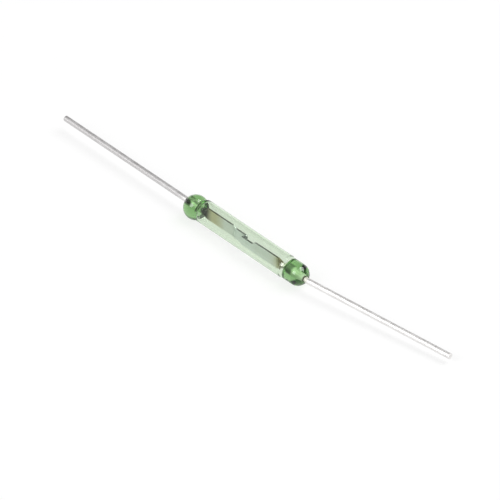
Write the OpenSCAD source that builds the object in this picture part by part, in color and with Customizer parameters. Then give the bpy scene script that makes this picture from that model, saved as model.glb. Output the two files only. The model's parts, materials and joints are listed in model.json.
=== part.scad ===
// Glass reed switch. Two nickel-iron wires, the reeds, are melted into the ends of a thin green
// glass tube. Inside it their ends are pressed into flat upright blades, whose tips overlap with
// a small open gap that a magnet closes.
// Millimetres. X runs along the tube from the left lead to the right one, Z is up, and the origin
// is on the tube's axis, half-way between the two lead exits.

/* [Glass envelope] */
// Length of the glass between the two lead exits
glass_len = 14; // [13:0.02:18]
// Outer diameter of the straight tube
tube_od = 2; // [1.9:0.01:2.1]
// Wall thickness of the straight tube
tube_wall = 0.18; // [0.14:0.01:0.24]
// Outer diameter of the left end, which melted into a ball
left_bulb_od = 2.13; // [2.06:0.01:2.4]
// Middle of that ball, below the tube's axis
left_ball_drop = 0.07; // [0:0.01:0.08]
// Middle of that ball, to the front of the tube's axis
left_ball_front = 0.08; // [0:0.01:0.1]
// Outer diameter of the right end, which drew in a little as it melted and closed in a dome
right_bulb_od = 1.9; // [1.8:0.01:1.98]
// Outer diameter to which the tube drew in at the middle of that ball
left_neck_od = 1.8; // [1.74:0.01:1.84]
// Solid glass from the left lead exit to the hollow
left_seal_len = 1.85; // [1.7:0.05:2.4]
// Solid glass from the right lead exit to the hollow
right_seal_len = 1.85; // [1.5:0.05:2.4]
// Length over which the tube draws in towards the middle of that ball
left_draw_len = 0.9; // [0.6:0.05:1.2]
// Length over which the tube draws in to the right end, with its wall
right_draw_len = 0.6; // [0.3:0.05:1]
// Radius where the wall of the hollow turns into its left end
left_hollow_corner = 0.25; // [0.1:0.05:0.5]
// Radius where the wall of the hollow turns into its right end
right_hollow_corner = 0.15; // [0.1:0.05:0.5]

/* [Leads] */
// Diameter of the bare wire
wire_d = 0.48; // [0.4:0.01:0.54]
// Thickness of the tin coat on the wire outside the glass
tin_coat = 0.01; // [0.005:0.005:0.02]
// Length over which the left lead's coat thins out to bare wire at the glass
coat_taper = 0.6; // [0.5:0.05:2]
// Left lead, from the glass to its cut end
left_lead_len = 15; // [10:0.1:20]
// Right lead, from the glass to its cut end, measured along the wire
right_lead_len = 14.6; // [10:0.1:20]
// Straight stretch of the right lead between the glass and its bend, where its coat thins out
bend_start = 0.3; // [0.1:0.05:2]
// Angle by which the right lead is bent out of line
bend_angle = 8.8; // [7:0.1:20]
// Radius of that bend at the middle of the wire
bend_radius = 1.5; // [1:0.1:4]

/* [Blades] */
// Width of the blades, which stand on edge
blade_w = 1.14; // [0.9:0.01:1.2]
// Thickness of the blades
blade_t = 0.155; // [0.12:0.005:0.18]
// Width of the left blade's tip
left_tip_w = 1.1; // [0.7:0.01:1.14]
// Width of the right blade's tip, which is pressed narrower
right_tip_w = 0.82; // [0.7:0.01:1.14]
// Open gap between the two contact faces
contact_gap = 0.07; // [0.03:0.01:0.12]
// Middle of the gap, to the front of the tube's axis
gap_offset = 0.215; // [0.16:0.005:0.25]
// Length over which the two tips overlap
contact_overlap = 0.5; // [0.3:0.05:1]
// Middle of the overlap, to the left of the middle of the glass
contact_shift = 0; // [-0.4:0.02:0.4]
// Radius of the corners of each tip
tip_corner = 0.2; // [0.05:0.01:0.34]
// Distance from a blade's end to the middle of the step behind its tip
tip_len = 1.5; // [1:0.05:2]
// Length over which a blade steps across and narrows to its tip
step_len = 0.4; // [0.2:0.05:0.8]
// Right blade, to the front of the axis, at its root
right_root_y = 0.205; // [0.1:0.005:0.25]
// Right blade, to the front of the axis, at its step
right_step_y = 0.23; // [0.2:0.01:0.3]
// Distance from the left end of the hollow to the root of the left blade
left_root_inset = 0.58; // [0.5:0.01:1]
// Distance from the right end of the hollow to the root of the right blade
right_root_inset = 1.03; // [0.6:0.01:1.2]
// Length over which the round wire is pressed out flat
press_len = 0.45; // [0.25:0.01:0.48]

/* [Hidden] */
$fn = 64;
// Points on each round stretch of an outline
arc_steps = 16;
// The bare wire runs on under the tin coat, this far past each end of the bend
wire_lap = 0.1;
half_len = glass_len / 2;
tube_r = tube_od / 2;
left_bulb_r = left_bulb_od / 2;
right_bulb_r = right_bulb_od / 2;
wire_r = wire_d / 2;
lead_r = wire_r + tin_coat;
hollow_r = tube_r - tube_wall;
hollow_left = left_seal_len - half_len;
hollow_right = half_len - right_seal_len;

// The middles of the left ball and of the right dome, each set so that the glass reaches along the
// bare wire to the lead exit
left_ball_offset = norm([left_ball_front, left_ball_drop]);
left_ball_x = sqrt(pow(left_bulb_r, 2) - pow(wire_r - left_ball_offset, 2)) - half_len;
right_dome_x = half_len - sqrt(pow(right_bulb_r, 2) - pow(wire_r, 2));

// The tube has drawn in at its right end where the hollow's corner starts
right_draw_x = hollow_right - right_hollow_corner - right_draw_len;

// Blade roots and tips, measured outwards from the middle of the glass on each side
left_root = -hollow_left - left_root_inset;
right_root = hollow_right - right_root_inset;
left_tip = -contact_overlap / 2 + contact_shift;
right_tip = -contact_overlap / 2 - contact_shift;
tip_spread = (contact_gap + blade_t) / 2;

// The switch lies on the ball and the dome, and rolls until the bent lead's end touches that surface
// too, which rises a little to the right
bend_arc_len = bend_radius * bend_angle * PI / 180;
bent_len = right_lead_len - bend_start - bend_arc_len;
lead_reach = bend_radius * (1 - cos(bend_angle)) + bent_len * sin(bend_angle);
lead_end_x = half_len + bend_start + bend_radius * sin(bend_angle) + bent_len * cos(bend_angle);
rest_rise = (left_bulb_r + left_ball_drop - right_bulb_r) / (right_dome_x - left_ball_x);
lead_drop = right_bulb_r - lead_r - rest_rise * (lead_end_x - right_dome_x);
lead_roll = asin(max(0, min(1, lead_drop / lead_reach)));

// A value that leaves one level and arrives at another with no corner, f running from 0 to 1
function ease(from, to, f) = from + (to - from) * (1 - cos(180 * f)) / 2;

// Points on an arc about a centre
function arc(centre, radius, from, to) = [
    for (i = [0 : arc_steps])
        let (angle = from + (to - from) * i / arc_steps)
        centre + radius * [cos(angle), sin(angle)]
];

// The stretch where the tube draws in, as [radius, x], on its outside or at a depth below it
function right_draw(depth) = [
    for (i = [0 : arc_steps])
        let (f = i / arc_steps)
        [ease(tube_r, right_bulb_r, f) - depth, right_draw_x + right_draw_len * f]
];

// Half section of the closed tube, as [radius, x], from the middle of the left ball to its right end
function tube_outline() = concat(
    [
        [0, left_ball_x],
        [left_neck_od / 2, left_ball_x],
        [tube_r, left_ball_x + left_draw_len]
    ],
    right_draw(0),
    arc([0, right_dome_x], right_bulb_r, 0, 90)
);

// Half section of the gas-filled hollow, as [radius, x]
function hollow_outline() = concat(
    [[0, hollow_left]],
    arc(
        [hollow_r - left_hollow_corner, hollow_left + left_hollow_corner],
        left_hollow_corner, -90, 0
    ),
    right_draw(tube_wall),
    arc(
        [right_bulb_r - tube_wall - right_hollow_corner, hollow_right - right_hollow_corner],
        right_hollow_corner, 90 / arc_steps, 90
    ),
    [[0, hollow_right]]
);

// A round rod from one x to another
module rod(from, to, r_from, r_to) {
    translate([from, 0, 0])
        rotate([0, 90, 0])
            cylinder(h = to - from, r1 = r_from, r2 = r_to);
}

// The wire in the seal and a little way on under the tin coat, and the stretch where it is pressed
// from round to the blade's section: round shoulders for the spread in width, cut by a wedge for the
// lost thickness
module sealed_wire(root, root_y) {
    neck = root + press_len;
    flare_r = norm([blade_w / 2, abs(root_y) + blade_t / 2]);
    shoulder = [
        for (i = [0 : arc_steps])
            let (f = i / arc_steps)
            [ease(flare_r, wire_r, f), root + press_len * f]
    ];
    rod(neck, half_len + bend_start + wire_lap, wire_r, wire_r);
    intersection() {
        rotate([0, 90, 0]) rotate_extrude() polygon(concat([[0, root]], shoulder, [[0, neck]]));
        linear_extrude(height = blade_w, center = true)
            polygon([
                [root, root_y - blade_t / 2], [neck, -wire_r],
                [neck, wire_r], [root, root_y + blade_t / 2]
            ]);
    }
}

// A flat blade from its root inwards to its tip: the strip seen from above, with the eased step
// behind the tip, kept where the side view with its narrower, round-cornered tip covers it
module blade(root, root_y, step_y, tip, tip_y, tip_w) {
    step_mid = tip + tip_len;
    run = concat(
        [[root, root_y]],
        [
            for (i = [0 : arc_steps])
                let (f = i / arc_steps)
                [step_mid + step_len * (0.5 - f), ease(step_y, tip_y, f)]
        ],
        [[tip, tip_y]]
    );
    back = [for (p = run) p + [0, blade_t / 2]];
    front = [for (i = [len(run) - 1 : -1 : 0]) run[i] - [0, blade_t / 2]];
    intersection() {
        linear_extrude(height = blade_w, center = true) polygon(concat(back, front));
        rotate([90, 0, 0])
            linear_extrude(height = tube_od, center = true)
                blade_side_view(root, tip, tip_w);
    }
}

module blade_side_view(root, tip, tip_w) {
    step_mid = tip + tip_len;
    upper = concat(
        [[root, blade_w / 2]],
        [
            for (i = [0 : arc_steps])
                let (f = i / arc_steps)
                [step_mid + step_len * (0.5 - f), ease(blade_w / 2, tip_w / 2, f)]
        ],
        arc([tip + tip_corner, tip_w / 2 - tip_corner], tip_corner, 90, 180)
    );
    lower = [for (i = [len(upper) - 1 : -1 : 0]) [upper[i].x, -upper[i].y]];
    polygon(concat(upper, lower));
}

module glass_envelope() {
    color([0.56, 0.76, 0.5, 0.45])
        difference() {
            union() {
                translate([left_ball_x, -left_ball_front, -left_ball_drop]) sphere(r = left_bulb_r);
                rotate([0, 90, 0]) rotate_extrude() polygon(tube_outline());
            }
            rotate([0, 90, 0]) rotate_extrude() polygon(hollow_outline());
            rod(-glass_len, glass_len, wire_r, wire_r);
        }
}

module left_lead() {
    coat_x = half_len + coat_taper;
    color([0.72, 0.71, 0.7])
        mirror([1, 0, 0]) {
            sealed_wire(left_root, 0);
            rod(half_len, coat_x, wire_r, lead_r);
            rod(coat_x, half_len + left_lead_len, lead_r, lead_r);
        }
}

module left_blade() {
    color([0.7, 0.74, 0.68])
        mirror([1, 0, 0])
            blade(left_root, 0, 0, left_tip, tip_spread - gap_offset, left_tip_w);
}

module right_lead() {
    bend_x = half_len + bend_start;
    color([0.78, 0.77, 0.76]) {
        sealed_wire(right_root, -right_root_y);
        rotate([-lead_roll, 0, 0]) {
            rod(half_len, bend_x, wire_r, lead_r);
            translate([bend_x, bend_radius, 0]) {
                rotate([0, 0, -90])
                    rotate_extrude(angle = bend_angle)
                        translate([bend_radius, 0]) rotate([0, 0, 90]) circle(r = lead_r);
                rotate([0, 0, bend_angle])
                    translate([0, -bend_radius, 0]) {
                        rod(-wire_lap, wire_lap, wire_r, wire_r);
                        rod(0, bent_len, lead_r, lead_r);
                    }
            }
        }
    }
}

module right_blade() {
    color([0.7, 0.74, 0.68])
        blade(
            right_root, -right_root_y, -right_step_y,
            right_tip, -tip_spread - gap_offset, right_tip_w
        );
}

glass_envelope();
left_lead();
left_blade();
right_lead();
right_blade();
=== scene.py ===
import json
import math

import bpy
import numpy as np
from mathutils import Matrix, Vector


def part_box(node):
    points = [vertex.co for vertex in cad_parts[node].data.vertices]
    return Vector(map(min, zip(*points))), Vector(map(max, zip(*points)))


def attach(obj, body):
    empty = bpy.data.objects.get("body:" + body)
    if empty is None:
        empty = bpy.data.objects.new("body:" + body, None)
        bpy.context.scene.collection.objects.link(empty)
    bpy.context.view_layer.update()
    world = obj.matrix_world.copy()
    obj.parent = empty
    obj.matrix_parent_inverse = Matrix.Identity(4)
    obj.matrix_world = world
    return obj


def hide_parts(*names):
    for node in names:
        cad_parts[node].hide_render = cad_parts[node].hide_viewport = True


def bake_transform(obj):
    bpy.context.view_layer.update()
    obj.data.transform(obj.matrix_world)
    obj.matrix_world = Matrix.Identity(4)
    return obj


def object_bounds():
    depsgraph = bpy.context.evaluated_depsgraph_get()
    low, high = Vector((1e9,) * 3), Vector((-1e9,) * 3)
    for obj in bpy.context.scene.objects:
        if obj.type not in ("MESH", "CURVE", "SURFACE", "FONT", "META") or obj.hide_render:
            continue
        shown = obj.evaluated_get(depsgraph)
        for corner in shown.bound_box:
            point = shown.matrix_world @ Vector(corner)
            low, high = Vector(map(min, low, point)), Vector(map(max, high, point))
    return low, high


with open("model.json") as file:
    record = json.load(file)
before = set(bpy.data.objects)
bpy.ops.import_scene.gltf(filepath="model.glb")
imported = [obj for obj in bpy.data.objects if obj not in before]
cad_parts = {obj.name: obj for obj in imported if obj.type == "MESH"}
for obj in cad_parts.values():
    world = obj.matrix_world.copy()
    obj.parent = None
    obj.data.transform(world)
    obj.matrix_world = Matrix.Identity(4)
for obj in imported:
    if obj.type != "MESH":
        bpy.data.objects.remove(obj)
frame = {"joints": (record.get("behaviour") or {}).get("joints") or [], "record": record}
cad_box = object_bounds()

# The two leads, the round ends of the two reed wires. Each is drawn nickel-iron, melted into one
# end of the glass and tinned outside it. Inside the glass its end is pressed out towards the blade.
# The right one was bent a little by hand, close to the glass.
mm = 0.001
mounts = {mount["name"]: mount for mount in frame["record"]["mounts"]}
hinges = {joint["name"]: np.array(joint["pos_m"]) for joint in frame["joints"]}
exit_x = -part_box("glass_envelope")[0].x
lead_r = mounts["left_lead"]["dims"]["r_mm"] * mm
tin_coat = 0.01 * mm
wire_r = lead_r - tin_coat
left_lead_len = 15 * mm
right_lead_len = 14.6 * mm
left_coat_taper = 0.6 * mm
right_coat_taper = 0.3 * mm
bend_start = 0.3 * mm
bend_radius = 1.5 * mm
press_len = 0.45 * mm
seal_depth = 1.85 * mm
cut_edge = 0.03 * mm
blade_half_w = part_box("left_blade")[1].z
blade_half_t = 0.155 / 2 * mm
blade_edge = 0.025 * mm


def eased(low, high, x):
    """0 up to low and 1 from high on, with half a cosine wave between them."""
    share = np.clip((x - low) / (high - low), 0, 1)
    return (1 - np.cos(np.pi * share)) / 2


def bar_section(half_t, half_w, corner, turns=48):
    """A rectangle with round corners, as across and upward offsets at even angles a. Each point is
    the corner circle's own point at a, moved out with the rectangle that is left inside. The move
    grows with four times cos a or sin a until it reaches a side. A bar as thick and wide as its
    corner circle is round."""
    a = np.linspace(0, 2 * np.pi, turns, endpoint=False)
    across = np.outer(half_t - corner, np.clip(4 * np.cos(a), -1, 1)) + np.outer(corner, np.cos(a))
    upward = np.outer(half_w - corner, np.clip(4 * np.sin(a), -1, 1)) + np.outer(corner, np.sin(a))
    return across, upward


def skin(name, rings, looped=False):
    """A mesh over rings of points, an array [ring, place, xyz]. Four-sided faces join each ring to
    the next, and a fan to its middle closes each end, unless the last ring joins the first. The
    faces are turned so that the volume they enclose is positive, which points them outwards."""
    count, turns = rings.shape[:2]
    index = np.arange(count * turns).reshape(count, turns)
    here, there = (index, np.roll(index, -1, 0)) if looped else (index[:-1], index[1:])
    quads = np.stack([here, there, np.roll(there, -1, 1), np.roll(here, -1, 1)], -1).reshape(-1, 4)
    points = rings.reshape(-1, 3)
    fans = np.zeros((0, 3), int)
    if not looped:
        points = np.concatenate([points, rings[[0, -1]].mean(1)])
        first, last = index[0], index[-1]
        near = np.stack([first, np.roll(first, -1), np.full(turns, count * turns)], -1)
        far = np.stack([np.roll(last, -1), last, np.full(turns, count * turns + 1)], -1)
        fans = np.concatenate([near, far])
    triangles = np.concatenate([quads[:, :3], quads[:, [0, 2, 3]], fans])
    a, b, c = (points[triangles[:, i]] for i in range(3))
    if np.einsum("ij,ij->", a, np.cross(b, c)) < 0:
        quads, fans = quads[:, ::-1], fans[:, ::-1]
    mesh = bpy.data.meshes.new(name)
    mesh.from_pydata(points.tolist(), [], quads.tolist() + fans.tolist())
    mesh.polygons.foreach_set("use_smooth", np.ones(len(mesh.polygons), bool))
    piece = bpy.data.objects.new(name, mesh)
    bpy.context.scene.collection.objects.link(piece)
    return piece


def mark(piece, name, kind, values):
    """Keeps a number or a vector at each point of a skin, given by ring and place. The middle of an
    end takes the mean of its ring."""
    ends = values[[0, -1]].mean(1)
    values = np.concatenate([values.reshape(-1, *values.shape[2:]), ends]).astype(np.float32)
    attribute = piece.data.attributes.new(name, kind, "POINT")
    attribute.data.foreach_set("vector" if kind == "FLOAT_VECTOR" else "value", values.ravel())


def mark_along(piece, along, across, upward):
    """Keeps, at each point, its place on the straight wire in millimetres: the distance along it
    and the two offsets across it, so that a finish follows the wire round a bend."""
    place = np.stack(np.broadcast_arrays(along[:, None], across, upward), -1)
    mark(piece, "along_wire", "FLOAT_VECTOR", place / mm)


def lead(name, outwards, length, coat_taper, root, bend, lean):
    """A lead from its cut end in to the root of its blade. The wire's middle runs straight out of
    the glass, then turns through the angle bend on a circle, sideways in the direction lean, and
    goes on straight. It is the sum of many short steps, each along the heading there. Past the
    seal it leans over to the blade's root. Its section is round, thins by the coat's thickness at
    the glass, and widens and flattens to the blade's over the pressed length."""
    seal_len = exit_x - abs(root[0])
    near_glass = 2 * mm
    turn = np.linspace(0, np.pi / 2, 6)
    along = np.concatenate([
        length - cut_edge * (1 - np.cos(turn)),
        np.linspace(length - cut_edge, near_glass, 80)[1:],
        np.linspace(near_glass, 0, 60)[1:],
        np.linspace(0, press_len - seal_len, 20)[1:],
        np.linspace(press_len - seal_len, -seal_len, 24)[1:],
    ])
    fine = np.linspace(-seal_len, length, 4001)
    heading = np.clip((fine - bend_start) / bend_radius, 0, bend)
    step = fine[1] - fine[0]
    forward = np.cumsum(np.cos(heading)) * step
    sideways = np.cumsum(np.sin(heading)) * step
    forward = np.interp(along, fine, forward) - np.interp(0, fine, forward)
    sideways = np.interp(along, fine, sideways)
    heading = np.interp(along, fine, heading)
    pressed = eased(seal_len - press_len, seal_len, -along)
    leaning = eased(seal_depth, seal_len, -along)
    radius = wire_r + tin_coat * np.clip(along / coat_taper, 0, 1)
    radius[: len(turn)] -= cut_edge * (1 - np.sin(turn))
    half_t = radius + (blade_half_t - radius) * pressed
    half_w = radius + (blade_half_w - radius) * pressed
    corner = radius + (blade_edge - radius) * pressed
    across, upward = bar_section(half_t, half_w, corner)
    middle = np.stack([
        outwards * (exit_x + forward),
        sideways * lean[1] + leaning * root[1],
        sideways * lean[2],
    ], -1)
    ahead = np.stack([
        outwards * np.cos(heading),
        np.sin(heading) * lean[1],
        np.sin(heading) * lean[2],
    ], -1)
    side = np.cross([0, 0, 1], ahead)
    side /= np.linalg.norm(side, axis=1, keepdims=True)
    up = np.cross(ahead, side)
    rings = middle[:, None] + across[..., None] * side[:, None] + upward[..., None] * up[:, None]
    piece = skin(name, rings)
    mark_along(piece, along, across, upward)
    return piece


left_root, right_root = hinges["left_reed_flex"], hinges["right_reed_flex"]
right_axis = np.array(mounts["right_lead"]["axis"])
right_bend = math.acos(right_axis[0])
right_lean = np.array([0, right_axis[1], right_axis[2]]) / math.sin(right_bend)
left_lead = lead(
    "left_lead_wire", -1, left_lead_len, left_coat_taper, left_root, bend=0, lean=(0, 0, 0)
)
right_lead = lead(
    "right_lead_wire", 1, right_lead_len, right_coat_taper, right_root, right_bend, right_lean
)


def material_nodes(name):
    """A new material with its node tree's nodes and links, and its main shader."""
    material = bpy.data.materials.new(name)
    material.use_nodes = True
    tree = material.node_tree
    return material, tree.nodes, tree.links, tree.nodes["Principled BSDF"]


def colour_ramp(nodes, links, value, places, colours):
    """The colour that a value has on a ramp through colours, or greys, at the given places."""
    ramp = nodes.new("ShaderNodeValToRGB")
    links.new(value, ramp.inputs["Fac"])
    elements = ramp.color_ramp.elements
    elements[0].position, elements[1].position = places[0], places[-1]
    for place in places[1:-1]:
        elements.new(place)
    for element, colour in zip(elements, colours):
        element.color = (*np.broadcast_to(colour, 3).tolist(), 1)
    return ramp.outputs["Color"]


def along_wire(nodes, links, stretch):
    """The place on the straight wire, scaled along and across it."""
    place = nodes.new("ShaderNodeAttribute")
    place.attribute_name = "along_wire"
    scaled = nodes.new("ShaderNodeMapping")
    scaled.inputs["Scale"].default_value = stretch
    links.new(place.outputs["Vector"], scaled.inputs["Vector"])
    return scaled.outputs["Vector"]


def distance_along(nodes, links):
    """The distance along the wire in millimetres."""
    place = nodes.new("ShaderNodeSeparateXYZ")
    links.new(along_wire(nodes, links, (1, 1, 1)), place.inputs["Vector"])
    return place.outputs["X"]


def noise_along(nodes, links, stretch, detail):
    """Noise that follows the wire, scaled along and across it."""
    noise = nodes.new("ShaderNodeTexNoise")
    noise.inputs["Scale"].default_value = 1
    noise.inputs["Detail"].default_value = detail
    links.new(along_wire(nodes, links, stretch), noise.inputs["Vector"])
    return noise.outputs["Fac"]


def share_between(nodes, links, value, low, high):
    """0 where a value is low and 1 where it is high, and in proportion between them."""
    share = nodes.new("ShaderNodeMapRange")
    share.inputs["From Min"].default_value = low
    share.inputs["From Max"].default_value = high
    links.new(value, share.inputs["Value"])
    return share.outputs["Result"]


def base_plus(nodes, links, base, value, factor):
    """A base value plus another value times a factor."""
    total = nodes.new("ShaderNodeMath")
    total.operation = "MULTIPLY_ADD"
    total.inputs[1].default_value = factor
    links.new(value, total.inputs[0])
    links.new(base, total.inputs[2])
    return total.outputs["Value"]


def multiplied(nodes, links, colour, tone, share=None):
    """A colour times a tone, or only as much of that as a share says."""
    product = nodes.new("ShaderNodeMix")
    product.data_type = "RGBA"
    product.blend_type = "MULTIPLY"
    product.inputs["Factor"].default_value = 1
    if share is not None:
        links.new(share, product.inputs["Factor"])
    links.new(colour, product.inputs["A"])
    links.new(tone, product.inputs["B"])
    return product.outputs["Result"]


def relief(nodes, links, shader, lines, strength, depth):
    """Raises the fine lines of a finish by a depth in metres."""
    bump = nodes.new("ShaderNodeBump")
    bump.inputs["Strength"].default_value = strength
    bump.inputs["Distance"].default_value = depth
    links.new(lines, bump.inputs["Height"])
    links.new(bump.outputs["Normal"], shader.inputs["Normal"])


def tinned_wire(name, stops, shade_spot):
    """Tin over drawn wire: fine lines along it, a little mottled, with tints along it. Some are the
    tints that the heat of the seal left on the bare wire, others are painted shade and a painted
    highlight, and one spot of painted shade darkens it. The tints are stops of place, colour and
    roughness, from
    3 mm inside the glass to 1 mm outside it. The spot has its place on the wire, in millimetres,
    and its tone, and is longer along the wire than across it."""
    tint_start, tint_end = -3, 1
    spot_stretch = 0.35
    spot_core, spot_rim = 0.11, 0.18
    spot_along, spot_across, spot_upward, spot_tone = shade_spot
    places, colours, mattes = zip(*stops)
    material, nodes, links, shader = material_nodes(name)
    shader.inputs["Metallic"].default_value = 1
    lines = noise_along(nodes, links, (0.4, 14, 14), detail=3)
    mottle = noise_along(nodes, links, (1.2, 3, 3), detail=2)
    zone = share_between(nodes, links, distance_along(nodes, links), tint_start, tint_end)
    tint = colour_ramp(nodes, links, zone, places, colours)
    dulling = colour_ramp(nodes, links, zone, places, mattes)
    tones = colour_ramp(nodes, links, mottle, (0.3, 0.7), ((0.9, 0.89, 0.89), 1))
    from_spot = nodes.new("ShaderNodeVectorMath")
    from_spot.operation = "DISTANCE"
    from_spot.inputs[1].default_value = (spot_stretch * spot_along, spot_across, spot_upward)
    links.new(along_wire(nodes, links, (spot_stretch, 1, 1)), from_spot.inputs[0])
    # Painted shade: the spot darkens the wire's colour.
    spot_shade = colour_ramp(
        nodes, links, from_spot.outputs["Value"], (spot_core, spot_rim), (spot_tone, 1)
    )
    mottled = multiplied(nodes, links, tint, tones)
    links.new(multiplied(nodes, links, mottled, spot_shade), shader.inputs["Base Color"])
    roughness = base_plus(nodes, links, dulling, mottle, factor=0.18)
    links.new(roughness, shader.inputs["Roughness"])
    relief(nodes, links, shader, lines, strength=0.35, depth=0.004 * mm)
    return material


tin = (0.88, 0.87, 0.86)
dull_tin = (0.68, 0.67, 0.67)
bare_wire = (0.93, 0.93, 0.92)
# Painted shade: the next two colours darken the left wire at the inner end of its seal, where the
# hollow begins.
painted_seal_dark = (0.08, 0.09, 0.075)
painted_root_grey = (0.2, 0.19, 0.16)
root_brown = (0.26, 0.24, 0.14)
# Painted shade: the next two colours darken the right and the left wire inside the glass, close to
# where each leaves it.
painted_exit_brown = (0.2, 0.17, 0.12)
painted_exit_grey = (0.36, 0.4, 0.34)
neck_grey = (0.47, 0.47, 0.42)
# Painted shade: darkens the right wire near the inner end of its seal, where it is seen through the
# barrel.
painted_barrel_grey = (0.3, 0.34, 0.29)
# Painted highlight: a paler band on the right lead just outside the glass.
painted_exit_highlight = (0.92, 0.9, 0.83)
left_stops = [
    (0.1425, painted_root_grey, 0.5), (0.17, painted_seal_dark, 0.5), (0.325, painted_seal_dark, 0.5),
    (0.35, bare_wire, 0.3), (0.52, bare_wire, 0.3), (0.58, painted_exit_grey, 0.5),
    (0.735, painted_exit_grey, 0.5), (0.75, tin, 0.34), (1, dull_tin, 0.42),
]
right_stops = [
    (0.03, root_brown, 0.8), (0.1, root_brown, 0.8), (0.125, neck_grey, 0.4),
    (0.28, neck_grey, 0.4), (0.3, painted_barrel_grey, 0.5), (0.4, painted_barrel_grey, 0.5),
    (0.46, bare_wire, 0.6), (0.68, bare_wire, 0.6), (0.7, painted_exit_brown, 0.5),
    (0.735, painted_exit_brown, 0.5), (0.745, painted_exit_highlight, 0.5), (0.8, painted_exit_highlight, 0.5), (0.84, tin, 0.36),
]
# Two spots of painted shade on the front of the wires: just inside the left one's exit, and on the
# right one under the barrel.
left_shade_spot = (-0.42, 0.21, 0.116, 0.13)
right_shade_spot = (-1.65, -0.231, 0.064, 0.6)
for piece, node, stops, shade_spot in (
    (left_lead, "left_lead", left_stops, left_shade_spot),
    (right_lead, "right_lead", right_stops, right_shade_spot),
):
    piece.data.materials.append(tinned_wire(node + "_finish", stops, shade_spot))
    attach(piece, "switch_body")
    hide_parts(node)

# The two blades, the flat ends of the same two wires. Each was pressed out of the round wire in a
# die, with a step behind its plated tip, and stands on edge in the glass. A blade bends near its
# root, where the sealed wire widens and flattens into it.
tip_corner = 0.2 * mm
tip_len = 1.5 * mm
step_len = 0.4 * mm
right_step_y = -0.23 * mm
left_tip_w = 1.1 * mm
right_tip_w = 0.82 * mm


def blade(name, node, root, step_y, tip_w):
    """A blade from its root to its tip. Its middle line runs straight from the root to the step,
    crosses over to the tip's side on half a cosine wave, and goes on straight. Its section is the
    bar's, narrowed to the tip's width on the same wave and at the end by two corner arcs, and
    rounded off over its last edge radius. What lies within nine tenths of its half thickness is
    marked as sheared edge."""
    low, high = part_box(node)
    inwards = -1 if root[0] > 0 else 1
    tip_x = high.x if inwards > 0 else low.x
    tip_y = low.y + blade_half_t
    length = abs(tip_x - root[0])
    turn = np.linspace(0, np.pi / 2, 14)
    round_off = np.linspace(0, np.pi / 2, 6)[1:]
    step_start = length - tip_len - step_len / 2
    step_end = length - tip_len + step_len / 2
    along = np.concatenate([
        np.linspace(0, step_start, 60)[:-1],
        np.linspace(step_start, step_end, 25)[:-1],
        np.linspace(step_end, length - tip_corner, 20)[:-1],
        length - tip_corner + (tip_corner - blade_edge / 2) * np.sin(turn),
        length - blade_edge / 2 * (1 - np.sin(round_off)),
    ])
    past = np.clip(along - (length - tip_corner), 0, tip_corner)
    stepped = eased(step_start, step_end, along)
    half_w = blade_half_w + (tip_w / 2 - blade_half_w) * stepped
    half_w += np.sqrt(tip_corner**2 - past**2) - tip_corner
    half_t = np.full(len(along), blade_half_t)
    half_t[-len(round_off):] -= blade_edge / 2 * (1 - np.cos(round_off))
    corner = np.minimum(blade_edge, half_t)
    across, upward = bar_section(half_t, half_w, corner)
    run_y = np.interp(along, [0, step_start], [root[1], step_y])
    run_y += (tip_y - step_y) * stepped
    middle = np.stack([root[0] + inwards * along, run_y, np.zeros(len(along))], -1)
    rings = np.repeat(middle[:, None], across.shape[1], 1)
    rings[..., 1] += across
    rings[..., 2] += upward
    piece = skin(name, rings)
    mark_along(piece, along, across, upward)
    on_edge = np.abs(across) < 0.9 * half_t[:, None]
    mark(piece, "sheared_edge", "FLOAT", on_edge.astype(float))
    return piece


left_blade = blade("left_reed_blade", "left_blade", left_root, left_root[1], left_tip_w)
right_blade = blade("right_reed_blade", "right_blade", right_root, right_step_y, right_tip_w)


def pressed_reed(name, stops, length):
    """Satin pressed nickel-iron: fine rolling grain along the blade, with a tint along its length
    from the heat of the seal to the plated tip, and painted shade on its sheared edges. The tints
    are stops of place, colour, roughness and edge shade. A soft cloud moves them to and fro."""
    cloud_reach, cloud_mean = 0.35, 0.17
    places, colours, mattes, edge_shades = zip(*stops)
    material, nodes, links, shader = material_nodes(name)
    shader.inputs["Metallic"].default_value = 1
    grain = noise_along(nodes, links, (2, 24, 24), detail=4)
    cloud = noise_along(nodes, links, (1.5, 2.5, 2.5), detail=2)
    drift = base_plus(nodes, links, distance_along(nodes, links), cloud, cloud_reach)
    zone = share_between(nodes, links, drift, cloud_mean, length / mm + cloud_mean)
    tint = colour_ramp(nodes, links, zone, places, colours)
    dulling = colour_ramp(nodes, links, zone, places, mattes)
    edge_shade = colour_ramp(nodes, links, zone, places, edge_shades)
    sheared = nodes.new("ShaderNodeAttribute")
    sheared.attribute_name = "sheared_edge"
    # Painted shade: the sheared edges are darkened by the edge column of the tints.
    shade = multiplied(nodes, links, tint, edge_shade, sheared.outputs["Fac"])
    links.new(shade, shader.inputs["Base Color"])
    roughness = base_plus(nodes, links, dulling, grain, factor=0.2)
    links.new(roughness, shader.inputs["Roughness"])
    relief(nodes, links, shader, grain, strength=0.3, depth=0.003 * mm)
    return material


bare_metal = (0.71, 0.735, 0.725)
# Painted shade at the root of the left blade, where the seal ends.
painted_seal_grey = (0.22, 0.21, 0.17)
dark_straw = (0.41, 0.39, 0.27)
straw = (0.585, 0.545, 0.37)
brown = (0.45, 0.43, 0.28)
pale_brown = (0.62, 0.61, 0.51)
warm_metal = (0.69, 0.7, 0.66)
plated = (0.73, 0.765, 0.765)
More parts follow.
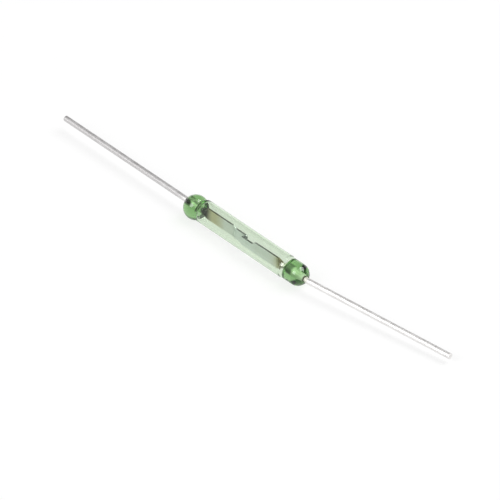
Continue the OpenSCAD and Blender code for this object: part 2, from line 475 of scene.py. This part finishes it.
# The last column is the painted edge shade; at the left blade's step it is 1, so the edges there
# are not darkened.
left_tints = [
    (0, painted_seal_grey, 0.35, 0.3), (0.06, dark_straw, 0.3, 0.3), (0.13, straw, 0.26, 0.3),
    (0.22, straw, 0.26, 0.3), (0.45, bare_metal, 0.26, 0.3), (0.62, bare_metal, 0.26, 0.3),
    (0.66, bare_metal, 0.7, 1), (0.71, plated, 0.7, 1), (0.75, plated, 0.26, 0.3),
]
right_tints = [
    (0, brown, 0.45, 0.3), (0.03, brown, 0.45, 0.3), (0.08, pale_brown, 0.3, 0.3),
    (0.16, warm_metal, 0.26, 0.3), (0.3, bare_metal, 0.26, 0.3), (0.64, bare_metal, 0.26, 0.3),
    (0.7, plated, 0.26, 0.2),
]
for piece, node, body, root, tints in (
    (left_blade, "left_blade", "left_reed", left_root, left_tints),
    (right_blade, "right_blade", "right_reed", right_root, right_tints),
):
    low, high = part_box(node)
    piece.data.materials.append(pressed_reed(node + "_finish", tints, high.x - low.x))
    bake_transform(piece)
    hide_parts(node)

# The glass envelope, one green glass tube. Its ends were melted round the two wires and shut, the
# left one into a ball that hangs a little to one side, the right one into a narrower barrel.
tube_r = mounts["glass_body"]["dims"]["r_mm"] * mm
tube_wall = 0.18 * mm
left_bulb_r = 2.13 / 2 * mm
left_ball_y, left_ball_z = -0.08 * mm, -0.07 * mm
left_neck_r = 0.78 * mm
left_neck_len = 0.36 * mm
left_draw_len = 0.9 * mm
left_hollow_corner = 0.25 * mm
right_bulb_r = 1.9 / 2 * mm
right_draw_len = 0.3 * mm
right_hollow_corner = 0.15 * mm
wire_bite = 0.005 * mm
bore_r = wire_r - wire_bite
soft_corner = 0.05 * mm


def ball_and_neck(spin):
    """The outside of the left end as places along the axis and, at each of them, radii at the
    angles spin. The ball is a sphere with its middle off the axis, so in each direction it reaches
    to where a line from the axis leaves the circle it has there. The neck is round the axis, and
    widens to the tube on half a cosine wave. The glass is the larger of the two, with the corner
    between them filled: half of their sum and of a root that is never quite zero."""
    off_axis = math.hypot(left_ball_y, left_ball_z)
    ball_x = math.sqrt(left_bulb_r**2 - (bore_r - off_axis) ** 2) - exit_x
    neck_x, tube_x = ball_x + left_neck_len, ball_x + left_draw_len
    first_turn = math.asin((bore_r - off_axis) / left_bulb_r)
    last_turn = math.acos((ball_x - tube_x) / left_bulb_r)
    turn = np.linspace(first_turn, last_turn, 100)
    along = ball_x - left_bulb_r * np.cos(turn)
    aside = left_ball_y * np.cos(spin) + left_ball_z * np.sin(spin)
    ball = aside + np.sqrt((left_bulb_r * np.sin(turn))[:, None] ** 2 - off_axis**2 + aside**2)
    widening = eased(neck_x, tube_x, along)
    neck = left_neck_r + (tube_r - left_neck_r) * widening
    neck = np.where(along < ball_x, bore_r, neck)[:, None]
    fill = soft_corner * (eased(ball_x, neck_x, along) - widening)[:, None]
    return along, np.maximum((ball + neck + np.sqrt((ball - neck) ** 2 + fill**2)) / 2, bore_r)


def straight(places, radius):
    """A straight stretch of a section, one radius at all its places along the axis."""
    return np.stack([places, np.full(len(places), radius)])


def tube_section(tube_x):
    """The section of the rest of the glass, as places along the axis and radii, from where the tube
    starts. Outside: the tube, half a cosine wave in to the barrel, and the dome's arc. Inside: the
    right bore, the hollow with its round corners and the same wave in its wall, and the left bore.
    The bores are a hair narrower than the wire, so the glass lies on the metal."""
    hollow_left, hollow_right = seal_depth - exit_x, exit_x - seal_depth
    hollow_r, drawn_r = tube_r - tube_wall, right_bulb_r - tube_wall
    draw_x = hollow_right - right_hollow_corner - right_draw_len
    dome_x = exit_x - math.sqrt(right_bulb_r**2 - bore_r**2)
    dome = np.linspace(0, math.acos(bore_r / right_bulb_r), 48)
    corner = np.linspace(0, np.pi / 2, 14)
    share = np.linspace(0, 1, 26)[1:]
    wave = eased(0, 1, share)
    return np.concatenate([
        straight(np.linspace(tube_x, draw_x, 50)[1:], tube_r),
        np.stack([draw_x + right_draw_len * share, tube_r + (right_bulb_r - tube_r) * wave]),
        straight(np.linspace(draw_x + right_draw_len, dome_x, 20)[1:-1], right_bulb_r),
        np.stack([dome_x + right_bulb_r * np.sin(dome), right_bulb_r * np.cos(dome)]),
        straight(np.linspace(exit_x, hollow_right, 20)[1:], bore_r),
        np.stack([
            hollow_right - right_hollow_corner * (1 - np.cos(corner)),
            drawn_r - right_hollow_corner * (1 - np.sin(corner)),
        ]),
        np.stack([draw_x + right_draw_len * (1 - share), drawn_r + (hollow_r - drawn_r) * wave]),
        straight(np.linspace(draw_x, hollow_left + left_hollow_corner, 50)[1:-1], hollow_r),
        np.stack([
            hollow_left + left_hollow_corner * (1 - np.sin(corner)),
            hollow_r - left_hollow_corner * (1 - np.cos(corner)),
        ]),
        straight(np.linspace(hollow_left, -exit_x, 20)[:-1], bore_r),
    ], 1)


spin = np.linspace(0, 2 * np.pi, 128, endpoint=False)
end_x, end_r = ball_and_neck(spin)
wall_x, wall_r = tube_section(end_x[-1])
glass_x = np.concatenate([end_x, wall_x])[:, None]
glass_r = np.concatenate([end_r, np.repeat(wall_r[:, None], len(spin), 1)])
glass = skin("green_glass_tube", np.stack(
    np.broadcast_arrays(glass_x, glass_r * np.cos(spin), glass_r * np.sin(spin)), -1
), looped=True)


def either(nodes, links, first, second):
    """1 where at least one of two values is 1, and otherwise 0."""
    larger = nodes.new("ShaderNodeMath")
    larger.operation = "MAXIMUM"
    links.new(first, larger.inputs[0])
    links.new(second, larger.inputs[1])
    return larger.outputs["Value"]


def mixed(nodes, links, share, first, second):
    """The first of two shaders where a share is 0, the second where it is 1."""
    mix = nodes.new("ShaderNodeMixShader")
    links.new(share, mix.inputs["Fac"])
    links.new(first, mix.inputs[1])
    links.new(second, mix.inputs[2])
    return mix.outputs["Shader"]


def green_glass():
    """Clear glass that takes red and blue from the light on its way, so that the thin wall is pale
    and the solid ends are deep green. The light that falls on the table through it goes straight
    on."""
    material, nodes, links, shader = material_nodes("green_glass")
    shader.inputs["Base Color"].default_value = (1, 1, 1, 1)
    shader.inputs["Roughness"].default_value = 0.04
    shader.inputs["IOR"].default_value = 1.56
    shader.inputs["Transmission Weight"].default_value = 1
    tint = nodes.new("ShaderNodeVolumeAbsorption")
    tint.inputs["Color"].default_value = (0.24, 0.6, 0.08, 1)
    tint.inputs["Density"].default_value = 1000
    through = nodes.new("ShaderNodeBsdfTransparent")
    through.inputs["Color"].default_value = (0.98, 0.98, 0.98, 1)
    ray = nodes.new("ShaderNodeLightPath").outputs
    lights_table = either(nodes, links, ray["Is Shadow Ray"], ray["Is Diffuse Ray"])
    surface = mixed(nodes, links, lights_table, shader.outputs["BSDF"], through.outputs["BSDF"])
    output = nodes["Material Output"]
    links.new(surface, output.inputs["Surface"])
    links.new(tint.outputs["Volume"], output.inputs["Volume"])
    return material


glass.data.materials.append(green_glass())
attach(glass, "switch_body")
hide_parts("glass_envelope")

# The table, a plain white sheet that the switch lies on. Where it is seen, in a mirror or through
# the glass too, it is mostly its own white and the rest is lit, so a faint shadow stays on it.
floor_half = 1.5
floor_z = cad_box[0].z
own_white = 0.78


def is_shown(nodes, links):
    """1 for what the camera sees, at once, in a mirror or through glass, and otherwise 0."""
    ray = nodes.new("ShaderNodeLightPath").outputs
    mirrored = either(nodes, links, ray["Is Glossy Ray"], ray["Is Transmission Ray"])
    return either(nodes, links, ray["Is Camera Ray"], mirrored)


floor_mesh = bpy.data.meshes.new("floor")
floor_mesh.from_pydata([
    (-floor_half, -floor_half, floor_z), (floor_half, -floor_half, floor_z),
    (floor_half, floor_half, floor_z), (-floor_half, floor_half, floor_z),
], [], [(0, 1, 2, 3)])
floor = bpy.data.objects.new("floor", floor_mesh)
bpy.context.scene.collection.objects.link(floor)
paper, nodes, links, shader = material_nodes("white_sheet")
shader.inputs["Base Color"].default_value = (0.99, 0.99, 0.99, 1)
shader.inputs["Roughness"].default_value = 0.9
shader.inputs["Specular IOR Level"].default_value = 0
white = nodes.new("ShaderNodeEmission")
white.inputs["Strength"].default_value = 1
share = nodes.new("ShaderNodeMath")
share.operation = "MULTIPLY"
share.inputs[1].default_value = own_white
links.new(is_shown(nodes, links), share.inputs[0])
sheet = mixed(
    nodes, links, share.outputs["Value"], shader.outputs["BSDF"], white.outputs["Emission"]
)
links.new(sheet, nodes["Material Output"].inputs["Surface"])
floor.data.materials.append(paper)

# The studio: a large soft lamp high at the back, a weaker one at the front, and a surround that is
# white along the horizon, where it is the background, grey above it and darker across from the
# camera. It fills the shadows only a little.
lamp_distance = 0.8
across_from_camera = (-0.569, 0.531, 0.628)
sky_grey, dark_side_tone = 0.45, 0.48
shadow_fill = 0.1


def soft_lamp(name, towards, size, energy):
    """A square lamp in one direction from the switch, facing it."""
    data = bpy.data.lights.new(name, "AREA")
    data.shape = "SQUARE"
    data.size = size
    data.energy = energy
    lamp = bpy.data.objects.new(name, data)
    lamp.location = lamp_distance * np.array(towards) / np.linalg.norm(towards)
    lamp.rotation_mode = "QUATERNION"
    lamp.rotation_quaternion = lamp.location.to_track_quat("Z", "Y")
    bpy.context.scene.collection.objects.link(lamp)


soft_lamp("back_lamp", towards=(0.27, 0.48, 0.84), size=0.6, energy=5.9)
soft_lamp("front_lamp", towards=(-0.15, -0.74, 0.655), size=0.44, energy=3.25)

world = bpy.data.worlds.new("surround")
bpy.context.scene.world = world
world.use_nodes = True
nodes, links = world.node_tree.nodes, world.node_tree.links
direction = nodes.new("ShaderNodeTexCoord").outputs["Generated"]
height = nodes.new("ShaderNodeSeparateXYZ")
links.new(direction, height.inputs["Vector"])
away = nodes.new("ShaderNodeVectorMath")
away.operation = "DOT_PRODUCT"
away.inputs[1].default_value = across_from_camera
links.new(direction, away.inputs[0])
dark_side = colour_ramp(nodes, links, away.outputs["Value"], (0.86, 0.93), (1, dark_side_tone))
sky = colour_ramp(nodes, links, height.outputs["Z"], (0.1, 0.2), (1, sky_grey))
seen = nodes["Background"]
links.new(multiplied(nodes, links, sky, dark_side), seen.inputs["Color"])
fill = nodes.new("ShaderNodeBackground")
fill.inputs["Strength"].default_value = shadow_fill
surround = mixed(
    nodes, links, is_shown(nodes, links), fill.outputs["Background"], seen.outputs["Background"]
)
links.new(surround, nodes["World Output"].inputs["Surface"])

# The camera, a long lens from the front right, looking down on the switch. It aims a little to the
# right of the middle of the glass and below it.
azimuth, elevation = math.radians(46.97), math.radians(38.87)
camera_distance = 0.5
aim_right, aim_down = 0.29 * mm, 0.846 * mm
back = np.array([
    math.sin(azimuth) * math.cos(elevation),
    -math.cos(azimuth) * math.cos(elevation),
    math.sin(elevation),
])
right = np.array([math.cos(azimuth), math.sin(azimuth), 0])
up = np.cross(back, right)
camera_data = bpy.data.cameras.new("camera")
camera_data.sensor_width = 36
camera_data.lens = 444.6
camera = bpy.data.objects.new("camera", camera_data)
camera.location = back * camera_distance + right * aim_right - up * aim_down
camera.rotation_euler = (math.pi / 2 - elevation, 0, azimuth)
bpy.context.scene.collection.objects.link(camera)
bpy.context.scene.camera = camera
bpy.context.scene.view_settings.view_transform = "Standard"
